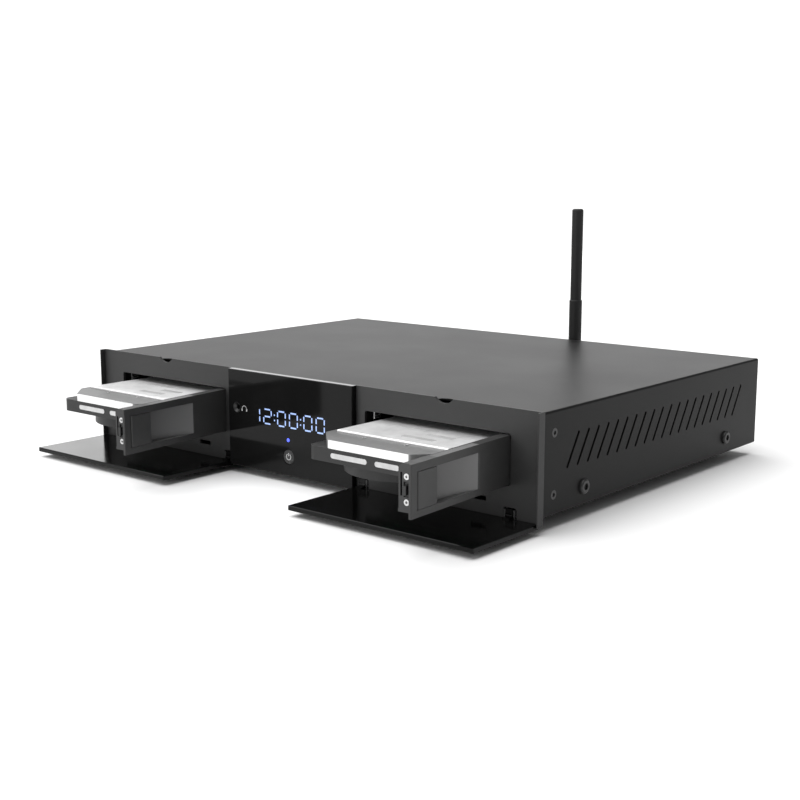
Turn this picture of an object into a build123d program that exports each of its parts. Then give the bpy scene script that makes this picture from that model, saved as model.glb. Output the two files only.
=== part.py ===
import os
from math import cos, hypot, radians, sin

from build123d import *

os.makedirs("parts", exist_ok=True)

# X runs to the right along the front panel and is measured from its middle. Y runs to the back. Z is the
# height above the surface that the player stands on. All sizes are in millimetres. Depths are measured
# from the panel's front plane, which lies at front_y, so that the origin is under the middle of the whole.

# Front panel, with a flat recess for a flap door on each side of the display window
panel_over_bays = 16.5
panel_thickness = 6.5
recess_depth = 4.4
cheek_width = 1.0
cheek_edge = 0.3
wing_length = 24.0
wing_thickness = 2.0
wing_gap = 0.4
notch_width = 15.4
notch_depth = 3.6
panel_post_radius = 2.5
panel_post_inset = 4.0

# Display window and what is behind it
window_edge = 0.4
display_rise = 41.0
display_x = -0.5
display_width = 92.0
display_height = 19.5
display_gap = 0.4
digit_height = 11.6
digit_width = 8.9
digit_pitch = 12.0
pair_pitch = 26.3
digit_stroke = 1.1
digit_break = 0.5
digit_depth = 0.3
control_board_height = 52.0
control_board_rise = 4.8
control_board_depth = 14.0
board_thickness = 1.6

# Power button, status light and headphone jack
button_rise = 14.1
button_radius = 5.35
button_gap = 0.25
button_set_in = 0.2
button_thickness = 3.1
button_travel = 0.8
button_edge = 0.3
stem_radius = 2.9
stem_gap = 0.3
clip_ring_radius = 4.0
clip_ring_thickness = 1.0
clip_ring_gap = 0.3
switch_size = 6.0
switch_height = 2.2
light_rise = 26.4
light_radius = 1.3
jack_margin = 6.5
jack_rise = 44.2
jack_radius = 4.0
jack_rim = 0.4
jack_dish = 1.5
jack_bore = 1.8
jack_body = 8.0
jack_board_margin = 6.0
jack_window_margin = 8.8
insert_gap = 0.05

# Case: base pan, folded cover, rear panel and feet
case_inset = 3.0
case_depth = 309.4
sheet = 1.2
sheet_gap = 0.2
bend_radius = 1.5
cover_drop = 1.6
cover_notch_depth = 5.5
pan_rise = 3.4
pan_flange = 18.0
rear_inset = 1.2
foot_height = 9.0
foot_radius = 9.0
foot_edge = 1.2
foot_inset = 34.0
foot_stub = 1.5

# Slanted ventilation slots, a row in each side of the cover
vent_count = 20
vent_pitch = 12.13
vent_width = 2.2
vent_length = 26.3
vent_slant = 31.5
vent_first = 43.5
vent_rise = 39.1

# Screws in the sides
cover_screw_depths = (56.8, 257.3)
cover_screw_rise = 12.4
cover_screw_head = 5.0
cover_screw_head_height = 2.2
cover_screw_dome = 1.4
cover_screw_shank = 1.9
cover_screw_length = 6.0
panel_screw_depth = 22.2
panel_screw_rises = (13.4, 53.2)
panel_screw_head = 3.0
panel_screw_sink = 0.8
panel_screw_shank = 1.3
panel_screw_length = 5.0
screw_gap = 0.05
socket_share = 0.5

# Drive bays: two openings, each in its recess
opening_inner_margin = 7.8
opening_outer_margin = 23.8
opening_rise = 22.4
opening_corner = 1.5
finger_slot_width = 12.0
finger_slot_height = 3.0
finger_slot_rise = 11.4
finger_slot_margin = 24.6

# Flap doors, hinged along their lower edge on two ears each, here lying open
flap_thickness = 3.4
flap_length = 67.2
flap_gap = 0.5
flap_edge = 0.4
hinge_depth = 4.9
hinge_rise = 3.4
hinge_edge = 1.2
ear_inner_margin = 5.2
ear_outer_margin = 22.3
ear_width = 5.4
ear_knuckle = 1.9
ear_foot = 5.0
ear_foot_thickness = 1.0
ear_arm = 4.5
ear_arm_thickness = 2.2
ear_slot_gap = 0.6
ear_slot_rise = 8.7
ear_slot_corner = 2.0
hinge_pin_radius = 0.8
pin_gap = 0.02
running_gap = 0.05
hinge_cheek = 1.6
hinge_cheek_gap = 0.3
hinge_cheek_front = 1.0
hinge_cheek_low = 2.2
hinge_cheek_top = 4.0
hinge_cheek_back = 3.5
hinge_plate_rise = 5.6
hinge_plate_height = 9.4
pan_notch_gap = 1.5

# Hard drives of the 3.5 inch size, here drawn part of the way out of their bays
drive_width = 101.6
drive_length = 147.0
drive_height = 26.1
drive_out = 60.0
drive_in = 16.0
drive_left_margin = 7.9
drive_door_gap = 1.0
drive_head_room = 4.8
drive_board_width = 90.0
drive_board_length = 96.0
drive_board_front = 38.0
drive_rail_height = 1.6
drive_rail = 5.0
drive_lug_rise = 10.2
drive_base_height = 19.3
drive_base_corner = 6.0
chamber_radius = 42.0
chamber_front = 8.0
chamber_shift = 8.0
shoulder_front = 34.0
drive_rim_height = 5.4
drive_corner_x = 17.4
drive_corner_y = 17.6
drive_corner_soft = 5.0
plateau_width = 92.0
plateau_front = 23.0
plateau_back = 16.0
plateau_edge = 0.5
drive_port_width = 44.0
drive_port_height = 8.0
drive_port_depth = 6.0
drive_hole_radius = 1.6
drive_hole_depth = 4.0
drive_hole_rise = 6.35
drive_hole_places = (41.3, 101.6)

# Racks: a sheet cage for each drive, on rubber rings over a sheet bridge
cage_wall = 1.5
cage_gap = 0.4
cage_roof_gap = 0.2
cage_front_gap = 0.3
cage_tail = 3.5
drive_side_gap = 0.4
drive_under_gap = 0.3
drive_lift = 2.2
guide_height = 15.0
guide_gap = 0.4
guide_tail = 12.0
ledge_width = 8.0
keeper_gap = 0.5
keeper_height = 7.0
ring_height = 3.0
ring_radius = 5.0
ring_bore = 2.2
ring_inset = 9.0
bridge_sheet = 1.5
bridge_margin = 10.8
bridge_foot = 9.0
bridge_inset = 12.0
spring_thickness = 0.8
spring_height = 5.0
spring_rise = 27.3
spring_length = 6.6
backplane_thickness = 1.6
receptacle_gap = 0.5
receptacle_reach = 4.5

# Swing doors of the racks, hinged on a pin at their right-hand end, here standing open
left_swing_angle = 95.5
right_swing_angle = 93.0
swing_depth = 11.0
swing_side_gap = 1.0
swing_end_gap = 4.9
swing_tail = 5.0
swing_front = 5.7
swing_back = 4.4
swing_skin = 1.8
swing_lip = 0.4
swing_lip_rise = 3.1
swing_lip_height = 1.7
swing_end_step = 1.6
swing_gap = 0.6
swing_top_slope = 2.3
swing_top_slope_in = 3.0
swing_tail_round = 4.0
swing_tail_soft = 3.0
swing_edge = 0.4
swing_pin_radius = 1.5
well_margin = 5.6
well_rise = 4.2
well_headroom = 5.0
well_floor = 0.6
scoop_length = 43.4
scoop_floor = 1.2
scoop_hollow = 0.7

# Latch in the free end of each swing door: a lever to pull, and the tongue that it draws in
lever_room = 20.0
lever_gap = 0.4
lever_end_gap = 0.8
lever_pivot_margin = 3.9
lever_pivot_in = 3.6
lever_thickness = 1.5
lever_proud = 0.2
lever_round = 1.2
lever_side_gap = 0.3
lever_boss_radius = 1.2
lever_boss_length = 3.8
lever_pin_radius = 0.6
lever_pin_seat = 0.9
latch_rise = 16.7
tongue_clear = 0.3
tongue_reach = 1.2
tongue_low = 0.8
tongue_thickness = 2.0
tongue_height = 5.6
tongue_gap = 0.15
tongue_bay_low = -0.8
tongue_bay_height = 9.0
tongue_bay_depth = 1.0
end_screw_in = 1.4
end_screw_spacing = 15.0
end_screw_head = 1.85
end_screw_sink = 1.2
end_screw_proud = 0.25
end_screw_shank = 0.8
end_screw_length = 2.5
end_screw_socket = 0.95
end_screw_socket_depth = 0.9
end_slot_in = -2.45
end_slot_width = 1.3
end_slot_rise = 12.7
end_slot_height = 13.8
end_slot_depth = 2.5

# Boards, power supply and sockets in the back of the case
board_rise = 8.0
post_radius = 3.0
post_inset = 6.0
main_board_width = 200.0
main_board_depth = 104.0
main_board_margin = 60.0
supply_board_width = 112.0
supply_board_depth = 78.0
supply_board_margin = 14.0
sink_size = 46.0
sink_base = 4.0
sink_fin = 1.6
sink_pitch = 5.5
sink_height = 24.0
sink_shift = -42.0
transformer_width = 32.0
transformer_depth = 28.0
transformer_height = 30.0
capacitor_radius = 9.0
capacitor_height = 28.0
capacitor_pitch = 24.0
inlet_margin = 42.0
inlet_rise = 26.0
inlet_width = 30.0
inlet_height = 22.0
inlet_depth = 24.0
inlet_wall = 3.0
inlet_socket_depth = 17.0
inlet_pin_radius = 1.2
inlet_pin_length = 13.0
inlet_pin_spacing = 12.0
socket_depth = 14.0
socket_hollow = 11.0
socket_proud = 0.4
cutout_gap = 0.3
audio_shift = 74.0
audio_block_width = 20.0
audio_block_height = 34.0
audio_pitch = 14.0
audio_radius = 4.15
audio_bore = 1.6
audio_length = 9.0

# Each socket on the main board: its distance from the board's middle, its shell and its mouth
rear_socket_sizes = {
    "left_video": {"shift": -66.0, "shell": (18.0, 9.6), "mouth": (14.2, 5.2)},
    "right_video": {"shift": -38.0, "shell": (18.0, 9.6), "mouth": (14.2, 5.2)},
    "left_data": {"shift": -8.0, "shell": (16.0, 9.6), "mouth": (12.6, 5.2)},
    "right_data": {"shift": 16.0, "shell": (16.0, 9.6), "mouth": (12.6, 5.2)},
    "network": {"shift": 44.0, "shell": (16.5, 14.5), "mouth": (11.8, 7.4)},
}

# Aerial: threaded socket, swivelling foot, hinge pin and folding rod
aerial_x = 28.6
aerial_rise = 61.9
aerial_thread = 3.1
aerial_thread_length = 8.0
aerial_nut = 5.0
aerial_nut_thickness = 2.0
aerial_flange_depth = 3.0
aerial_collar = 5.4
aerial_collar_edge = 0.5
aerial_swivel_gap = 0.08
aerial_face_gap = 0.4
aerial_pivot_back = 21.6
aerial_tongue = 5.0
aerial_tongue_radius = 4.6
aerial_fork_gap = 0.3
aerial_sleeve = 5.6
aerial_sleeve_height = 41.2
aerial_sleeve_edge = 0.6
aerial_rod_radius = 4.9
aerial_length = 120.7
aerial_tip = 1.8
aerial_pin_radius = 1.2

# Places worked out from the sizes above
jack_x = display_x - display_width / 2 - jack_margin
window_width = 2 * (jack_window_margin - jack_x)
control_board_width = 2 * (jack_board_margin - jack_x)
swing_thickness = swing_back + swing_front
opening_width = drive_left_margin + drive_width + drive_door_gap + swing_thickness + swing_side_gap
opening_height = drive_lift + drive_height + drive_head_room + 2 * cage_roof_gap
opening_margins = opening_inner_margin + opening_outer_margin
panel_width = window_width + 2 * (opening_width + opening_margins)
panel_height = opening_rise + opening_height + panel_over_bays
case_width = panel_width - 2 * case_inset
bay_spacing = window_width + 2 * opening_inner_margin + opening_width
drive_shift = drive_left_margin + drive_width / 2 - opening_width / 2
swing_shift = opening_width / 2 - swing_side_gap - swing_front
swing_length = swing_shift + opening_width / 2 - swing_end_gap
swing_end = swing_length - swing_end_step
well_end = swing_length - well_margin
scoop_end = well_end - lever_room
well_start = scoop_end - scoop_length
lever_end = well_end - lever_end_gap
lever_pivot = well_end - lever_pivot_margin
tongue_start = lever_end + tongue_clear
tongue_end = swing_length + tongue_reach
bridge_width = opening_width - 2 * bridge_margin
notch_x = (window_width / 2 + panel_width / 2 - cheek_width) / 2
finger_slot_shift = opening_width / 2 - finger_slot_margin
main_board_x = case_width / 2 - main_board_margin - main_board_width / 2
supply_x = supply_board_margin + supply_board_width / 2 - case_width / 2
inlet_x = inlet_margin - case_width / 2
audio_x = main_board_x + audio_shift
sink_x = main_board_x + sink_shift

door_turns = {"left": radians(left_swing_angle), "right": radians(right_swing_angle)}
along = {side: Vector(-cos(turn), -sin(turn), 0) for side, turn in door_turns.items()}
outward = {side: Vector(sin(turn), -cos(turn), 0) for side, turn in door_turns.items()}
tongue_reaches = [-tongue_end * along[side].Y - tongue_low * outward[side].Y for side in door_turns]
front_reach = max(tongue_reaches) - swing_depth
back_reach = case_depth + aerial_pivot_back + aerial_sleeve
front_y = (front_reach - back_reach) / 2

pan_bottom = foot_height
pan_top = pan_bottom + sheet
panel_bottom = pan_bottom - pan_rise
panel_top = panel_bottom + panel_height
cover_top = panel_top - cover_drop
face_y = front_y + recess_depth
panel_back = front_y + panel_thickness
web = panel_thickness - recess_depth
case_back = front_y + case_depth
cover_inside = case_width / 2 - sheet
pan_half = cover_inside - sheet_gap
rear_y = case_back - rear_inset - sheet

bays = {"left": -bay_spacing / 2, "right": bay_spacing / 2}
signs = {"left": -1, "right": 1}
opening_bottom = panel_bottom + opening_rise
opening_top = opening_bottom + opening_height

hinge_y = front_y + hinge_depth
hinge_z = panel_bottom + hinge_rise
flap_top = hinge_z - (hinge_depth - flap_thickness)
flap_back = hinge_y - hinge_edge
flap_inner = window_width / 2 + flap_gap
flap_outer = panel_width / 2 - cheek_width - flap_gap
ear_middles = (flap_inner + ear_inner_margin, flap_outer - ear_outer_margin)
hinge_cheek_in = ear_width / 2 + hinge_cheek_gap
hinge_plate_width = 2 * (hinge_cheek_in + hinge_cheek)
ear_slot = hinge_plate_width + 2 * ear_slot_gap

cage_inside = opening_width / 2 + cage_gap
cage_outside = cage_inside + cage_wall
cage_front = panel_back + cage_front_gap
cage_back = front_y + drive_in + drive_length + cage_tail
cage_floor = opening_bottom + cage_roof_gap
cage_roof = opening_top - cage_roof_gap
bridge_top = cage_floor - cage_wall - ring_height
bridge_y = (cage_front + bridge_inset, cage_back - bridge_inset)

drive_bottom = cage_floor + drive_lift
drive_top = drive_bottom + drive_height
drive_front = front_y - drive_out
drive_back = drive_front + drive_length
base_bottom = drive_bottom + drive_rail_height
base_top = drive_bottom + drive_base_height
rim_top = base_top + drive_rim_height

swing_bottom = cage_floor + swing_gap
swing_top = cage_roof - swing_gap
swing_y = front_y + swing_depth
lip_bottom = swing_bottom + swing_lip_rise
lip_top = lip_bottom + swing_lip_height
well_bottom = swing_bottom + well_rise
well_top = swing_top - well_headroom
latch_z = swing_bottom + latch_rise
guide_front = swing_y + swing_back + swing_lip + guide_gap

board_front = front_y + control_board_depth
board_low = panel_bottom + control_board_rise
board_z = pan_top + board_rise
board_top = board_z + board_thickness
inlet_z = pan_top + inlet_rise
audio_z = board_top + audio_block_height / 2
aerial_z = panel_bottom + aerial_rise
pivot_y = case_back + aerial_pivot_back


def span(a, b):
    return (min(a, b), max(a, b))


def middle(centre, width):
    return (centre - width / 2, centre + width / 2)


def front_view(y):
    # an upright plane seen from the front: x to the right, y up, and what it extrudes comes forward
    return Plane(origin=(0, y, 0), x_dir=(1, 0, 0), z_dir=(0, -1, 0))


def right_view(x):
    # an upright plane seen from the right: x to the back, y up, and what it extrudes goes right
    return Plane(origin=(x, 0, 0), x_dir=(0, 1, 0), z_dir=(1, 0, 0))


def slab(x, y, z, mode=Mode.ADD):
    # a block between two values on each axis
    with BuildSketch(Plane.XY.offset(z[0])) as outline:
        with Locations(((x[0] + x[1]) / 2, (y[0] + y[1]) / 2)):
            Rectangle(x[1] - x[0], y[1] - y[0])
    extrude(outline.sketch, amount=z[1] - z[0], mode=mode)


def rod_x(x, y, z, radius, mode=Mode.ADD):
    with BuildSketch(right_view(x[0])) as outline:
        with Locations((y, z)):
            Circle(radius)
    extrude(outline.sketch, amount=x[1] - x[0], mode=mode)


def rod_y(x, y, z, radius, mode=Mode.ADD):
    with BuildSketch(front_view(y[1])) as outline:
        with Locations((x, z)):
            Circle(radius)
    extrude(outline.sketch, amount=y[1] - y[0], mode=mode)


def rod_z(x, y, z, radius, mode=Mode.ADD):
    with BuildSketch(Plane.XY.offset(z[0])) as outline:
        with Locations((x, y)):
            Circle(radius)
    extrude(outline.sketch, amount=z[1] - z[0], mode=mode)


def hex_x(x, y, z, radius, mode=Mode.ADD):
    with BuildSketch(right_view(x[0])) as outline:
        with Locations((y, z)):
            RegularPolygon(radius, 6)
    extrude(outline.sketch, amount=x[1] - x[0], mode=mode)


def door_point(side, u, v, z):
    # a point of an open swing door: u along it from its pin, v outwards, z up
    return Vector(bays[side] + swing_shift, swing_y, z) + along[side] * u + outward[side] * v


def door_plan(side, z):
    # a level plane whose x runs along the swing door and whose y points outwards
    return Plane(origin=door_point(side, 0, 0, z), x_dir=along[side], z_dir=(0, 0, 1))


def door_section(side, u):
    # an upright plane across the swing door: x points outwards, y up, and what it extrudes goes along
    return Plane(origin=door_point(side, u, 0, 0), x_dir=outward[side], z_dir=along[side])


def door_slab(side, u, v, z, mode=Mode.ADD):
    with BuildSketch(door_plan(side, z[0])) as outline:
        with Locations(((u[0] + u[1]) / 2, (v[0] + v[1]) / 2)):
            Rectangle(u[1] - u[0], v[1] - v[0])
    extrude(outline.sketch, amount=z[1] - z[0], mode=mode)


def door_rod(side, u, v, z, radius, mode=Mode.ADD):
    with BuildSketch(door_section(side, u[0])) as outline:
        with Locations((v, z)):
            Circle(radius)
    extrude(outline.sketch, amount=u[1] - u[0], mode=mode)


def door_hex(side, u, v, z, radius, mode=Mode.ADD):
    with BuildSketch(door_section(side, u[0])) as outline:
        with Locations((v, z)):
            RegularPolygon(radius, 6)
    extrude(outline.sketch, amount=u[1] - u[0], mode=mode)


def save(piece, name):
    piece.part.label = name
    export_step(piece.part, f"parts/{name}.step")


# Front panel
notch_radius = (notch_width ** 2 / 4 + notch_depth ** 2) / (2 * notch_depth)
button_y = front_y + button_set_in
clip_ring_y = panel_back + clip_ring_gap
post_x = control_board_width / 2 - panel_post_inset
post_rises = (board_low + panel_post_inset, board_low + control_board_height - panel_post_inset)
with BuildPart() as front_panel:
    slab(middle(0, panel_width), (face_y, panel_back), (panel_bottom, panel_top))
    for sign in (-1, 1):
        cheek = span(sign * (panel_width / 2 - cheek_width), sign * panel_width / 2)
        slab(cheek, (front_y, panel_back), (panel_bottom, panel_top))
    chamfer(front_panel.edges().filter_by(Axis.Z).group_by(Axis.Y)[0], cheek_edge)
    for sign in (-1, 1):
        wing = span(sign * pan_half, sign * (pan_half - wing_thickness))
        slab(wing, (panel_back, panel_back + wing_length),
             (pan_top + wing_gap, cover_top - sheet - wing_gap))
        for rise in panel_screw_rises:
            rod_x(wing, front_y + panel_screw_depth, pan_bottom + rise, panel_screw_shank + screw_gap,
                  Mode.SUBTRACT)
        for rise in post_rises:
            rod_y(sign * post_x, (panel_back, board_front), rise, panel_post_radius)
    with BuildSketch(front_view(panel_back)) as panel_holes:
        for side, bay_x in bays.items():
            with Locations((bay_x, (opening_bottom + opening_top) / 2)):
                RectangleRounded(opening_width, opening_height, opening_corner)
            with Locations((bay_x + finger_slot_shift, panel_bottom + finger_slot_rise)):
                Rectangle(finger_slot_width, finger_slot_height)
            with Locations((signs[side] * notch_x, panel_top + notch_radius - notch_depth)):
                Circle(notch_radius)
            for ear_x in ear_middles:
                with Locations((signs[side] * ear_x, panel_bottom)):
                    RectangleRounded(ear_slot, 2 * ear_slot_rise, ear_slot_corner)
        with Locations((display_x, panel_bottom + display_rise)):
            Rectangle(display_width + 2 * display_gap, display_height + 2 * display_gap)
        with Locations((0, panel_bottom + button_rise)):
            Circle(stem_radius + stem_gap)
        with Locations((0, panel_bottom + light_rise)):
            Circle(light_radius + insert_gap)
        with Locations((jack_x, panel_bottom + jack_rise)):
            Circle(jack_radius + insert_gap)
    extrude(panel_holes.sketch, amount=web, mode=Mode.SUBTRACT)
save(front_panel, "front_panel")

# Clock digits of short bars, set flush into the face of the window. A bar is given by where it lies in
# its digit, in half digits across and up, and by whether it stands upright.
digit_bars = {
    "top": (0, 2, False), "middle": (0, 0, False), "bottom": (0, -2, False), "upper_left": (-1, 1, True),
    "lower_left": (-1, -1, True), "upper_right": (1, 1, True), "lower_right": (1, -1, True),
}
unlit_bars = {
    "0": ("middle",),
    "1": ("top", "middle", "bottom", "upper_left", "lower_left"),
    "2": ("upper_left", "lower_right"),
}
bar_width = digit_width - 2 * digit_stroke - 2 * digit_break
bar_height = (digit_height - 3 * digit_stroke) / 2 - digit_break
with BuildPart() as display_segments:
    with BuildSketch(front_view(front_y + digit_depth)) as lit:
        for place, digit in enumerate("120000"):
            pair, second = divmod(place, 2)
            digit_x = display_x + (pair - 1) * pair_pitch + (second - 0.5) * digit_pitch
            for bar, (across, up, upright) in digit_bars.items():
                if bar in unlit_bars[digit]:
                    continue
                bar_x = digit_x + across * (digit_width - digit_stroke) / 2
                bar_z = panel_bottom + display_rise + up * (digit_height - digit_stroke) / 4
                with Locations((bar_x, bar_z)):
                    if upright:
                        Rectangle(digit_stroke, bar_height)
                    else:
                        Rectangle(bar_width, digit_stroke)
        for pair_gap in (-1, 1):
            dot_x = display_x + pair_gap * pair_pitch / 2
            for up in (-1, 1):
                with Locations((dot_x, panel_bottom + display_rise + up * digit_height / 6)):
                    Rectangle(digit_stroke, digit_stroke)
    extrude(lit.sketch, amount=digit_depth)
save(display_segments, "display_segments")

# Display window: one dark block between the two recesses
with BuildPart() as display_window:
    slab(middle(0, window_width), (front_y, face_y), (panel_bottom, panel_top))
    chamfer(display_window.faces().sort_by(Axis.Y)[0].edges(), window_edge)
    rod_y(0, (front_y, face_y), panel_bottom + button_rise, button_radius + button_gap, Mode.SUBTRACT)
    rod_y(0, (front_y, face_y), panel_bottom + light_rise, light_radius + insert_gap, Mode.SUBTRACT)
    rod_y(jack_x, (front_y, face_y), panel_bottom + jack_rise, jack_radius + insert_gap, Mode.SUBTRACT)
    extrude(lit.sketch, amount=digit_depth, mode=Mode.SUBTRACT)
save(display_window, "display_window")

# Display module, from the window to the control board
with BuildPart() as display_module:
    slab(
        middle(display_x, display_width),
        (face_y, board_front),
        middle(panel_bottom + display_rise, display_height),
    )
save(display_module, "display_module")

# Control board on the panel's posts, with the switch behind the button
with BuildPart() as control_board:
    slab(
        middle(0, control_board_width),
        (board_front, board_front + board_thickness),
        (board_low, board_low + control_board_height),
    )
    slab(middle(0, switch_size), (board_front - switch_height, board_front),
         middle(panel_bottom + button_rise, switch_size))
save(control_board, "control_board")

# Power button, with its stem and the ring that keeps it in
with BuildPart() as power_button:
    rod_y(0, (button_y, button_y + button_thickness), panel_bottom + button_rise, button_radius)
    chamfer(power_button.edges().sort_by(Axis.Y)[0], button_edge)
    stem_end = board_front - switch_height - button_travel - button_set_in
    rod_y(0, (button_y, stem_end), panel_bottom + button_rise, stem_radius)
    ring = (clip_ring_y, clip_ring_y + clip_ring_thickness)
    rod_y(0, ring, panel_bottom + button_rise, clip_ring_radius)
save(power_button, "power_button")

# Status light: a clear rod from the control board to the face of the window
with BuildPart() as status_light:
    rod_y(0, (front_y, board_front), panel_bottom + light_rise, light_radius)
save(status_light, "status_light")

# Headphone jack, dished round its bore
with BuildPart() as headphone_jack:
    rod_y(jack_x, (front_y, panel_back), panel_bottom + jack_rise, jack_radius)
    slab(middle(jack_x, jack_body), (panel_back, board_front), middle(panel_bottom + jack_rise, jack_body))
    rod_y(jack_x, (front_y, panel_back), panel_bottom + jack_rise, jack_bore, Mode.SUBTRACT)
    jack_rings = headphone_jack.edges().filter_by(GeomType.CIRCLE).group_by(Axis.Y)[0]
    jack_mouth = jack_rings.sort_by(SortBy.RADIUS)[0]
    chamfer(jack_mouth, length=jack_radius - jack_rim - jack_bore, length2=jack_dish)
save(headphone_jack, "headphone_jack")

# Base pan with turned-up sides, posts for the boards and notches for the flap hinges
foot_places = [
    (sign * (case_width / 2 - foot_inset), y)
    for sign in (-1, 1)
    for y in (front_y + foot_inset, case_back - foot_inset)
]
board_places = {
    "main": (middle(main_board_x, main_board_width), (rear_y - main_board_depth, rear_y)),
    "supply": (
        middle(supply_x, supply_board_width),
        (rear_y - main_board_depth, rear_y - main_board_depth + supply_board_depth),
    ),
}
post_places = [
    (x, y)
    for across, back in board_places.values()
    for x in (across[0] + post_inset, across[1] - post_inset)
    for y in (back[0] + post_inset, back[1] - post_inset)
]
with BuildPart() as base_pan:
    slab((-pan_half, pan_half), (panel_back, case_back - rear_inset), (pan_bottom, pan_top))
    for sign in (-1, 1):
        flange = span(sign * pan_half, sign * (pan_half - sheet))
        flange_front = panel_back + wing_length + wing_thickness
        slab(flange, (flange_front, case_back - rear_inset), (pan_bottom, pan_bottom + pan_flange))
        for depth in cover_screw_depths:
            rod_x(flange, front_y + depth, pan_bottom + cover_screw_rise, cover_screw_shank + screw_gap,
                  Mode.SUBTRACT)
        for ear_x in ear_middles:
            notch_back = panel_back + hinge_cheek_back + pan_notch_gap
            slab(middle(sign * ear_x, ear_slot), (panel_back, notch_back), (pan_bottom, pan_top),
                 Mode.SUBTRACT)
    for x, y in post_places:
        rod_z(x, y, (pan_top, board_z), post_radius)
    for x, y in foot_places:
        rod_z(x, y, (pan_bottom, pan_top), foot_stub + screw_gap, Mode.SUBTRACT)
save(base_pan, "base_pan")

# Rubber feet, each with the stub that fixes it in the pan
with BuildPart() as feet:
    for x, y in foot_places:
        rod_z(x, y, (0, foot_height), foot_radius)
    fillet(feet.edges().group_by(Axis.Z)[0], foot_edge)
    for x, y in foot_places:
        rod_z(x, y, (foot_height, pan_top), foot_stub)
save(feet, "feet")

# Cover: top and both sides folded from one sheet, with a notch behind each notch of the panel
cover_notch_radius = (notch_width ** 2 / 4 + cover_notch_depth ** 2) / (2 * cover_notch_depth)
cover_notch_y = panel_back + cover_notch_depth - cover_notch_radius
with BuildPart() as top_cover:
    with BuildSketch(front_view(case_back)) as fold:
        with Locations((0, (pan_bottom + cover_top) / 2)):
            Rectangle(case_width, cover_top - pan_bottom)
        fillet(fold.vertices().group_by(Axis.Z)[-1], bend_radius)
        with Locations((0, (pan_bottom + cover_top) / 2 - sheet)):
            Rectangle(2 * cover_inside, cover_top - pan_bottom, mode=Mode.SUBTRACT)
    extrude(fold.sketch, amount=case_back - panel_back)
    for sign in (-1, 1):
        wall = span(sign * cover_inside, sign * case_width / 2)
        with BuildSketch(right_view(wall[0])) as vents:
            for index in range(vent_count):
                with Locations((front_y + vent_first + index * vent_pitch, pan_bottom + vent_rise)):
                    SlotOverall(vent_length, vent_width, rotation=90 - vent_slant)
        extrude(vents.sketch, amount=sheet, mode=Mode.SUBTRACT)
        rod_z(sign * notch_x, cover_notch_y, (cover_top - sheet, cover_top), cover_notch_radius,
              Mode.SUBTRACT)
        for depth in cover_screw_depths:
            rod_x(wall, front_y + depth, pan_bottom + cover_screw_rise, cover_screw_shank + screw_gap,
                  Mode.SUBTRACT)
        for rise in panel_screw_rises:
            screw_y = front_y + panel_screw_depth
            sink = span(sign * case_width / 2, sign * (case_width / 2 - panel_screw_sink))
            rod_x(wall, screw_y, pan_bottom + rise, panel_screw_shank + screw_gap, Mode.SUBTRACT)
            rod_x(sink, screw_y, pan_bottom + rise, panel_screw_head + screw_gap, Mode.SUBTRACT)
save(top_cover, "top_cover")

# Screws: domed heads low on the sides, small sunk heads beside the front panel
with BuildPart() as cover_screws:
    for sign in (-1, 1):
        skin = sign * case_width / 2
        for depth in cover_screw_depths:
            rod_x(span(skin, skin + sign * cover_screw_head_height), front_y + depth,
                  pan_bottom + cover_screw_rise, cover_screw_head)
    crowns = cover_screws.edges().group_by(Axis.X)
    fillet(crowns[0] + crowns[-1], cover_screw_dome)
    for sign in (-1, 1):
        skin = sign * case_width / 2
        head = skin + sign * cover_screw_head_height
        for depth in cover_screw_depths:
            hex_x(span(head - sign * cover_screw_dome, head), front_y + depth, pan_bottom + cover_screw_rise,
                  cover_screw_head * socket_share, Mode.SUBTRACT)
            rod_x(span(skin, skin - sign * cover_screw_length), front_y + depth,
                  pan_bottom + cover_screw_rise, cover_screw_shank)
save(cover_screws, "cover_screws")

with BuildPart() as panel_screws:
    for sign in (-1, 1):
        skin = sign * case_width / 2
        seat = skin - sign * panel_screw_sink
        for rise in panel_screw_rises:
            rod_x(span(seat, skin), front_y + panel_screw_depth, pan_bottom + rise, panel_screw_head)
            shank = span(seat - sign * panel_screw_length, seat)
            rod_x(shank, front_y + panel_screw_depth, pan_bottom + rise, panel_screw_shank)
            hex_x(span(seat, skin), front_y + panel_screw_depth, pan_bottom + rise,
                  panel_screw_head * socket_share, Mode.SUBTRACT)
save(panel_screws, "panel_screws")

# Rear panel with a cut-out for each socket
with BuildPart() as rear_panel:
    slab(middle(0, 2 * (pan_half - sheet - sheet_gap)), (rear_y, rear_y + sheet),
         (pan_top, cover_top - sheet - sheet_gap))
    with BuildSketch(front_view(rear_y + sheet)) as cutouts:
        for socket in rear_socket_sizes.values():
            shell_width, shell_height = socket["shell"]
            with Locations((main_board_x + socket["shift"], board_top + shell_height / 2)):
                Rectangle(shell_width + 2 * cutout_gap, shell_height + 2 * cutout_gap)
        for up in (-1, 1):
            with Locations((audio_x, audio_z + up * audio_pitch / 2)):
                Circle(audio_radius + cutout_gap)
        with Locations((inlet_x, inlet_z)):
            Rectangle(inlet_width + 2 * cutout_gap, inlet_height + 2 * cutout_gap)
        with Locations((aerial_x, aerial_z)):
            Circle(aerial_thread + insert_gap)
    extrude(cutouts.sketch, amount=sheet, mode=Mode.SUBTRACT)
save(rear_panel, "rear_panel")

# Main board
with BuildPart() as main_board:
    slab(*board_places["main"], (board_z, board_top))
save(main_board, "main_board")

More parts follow.
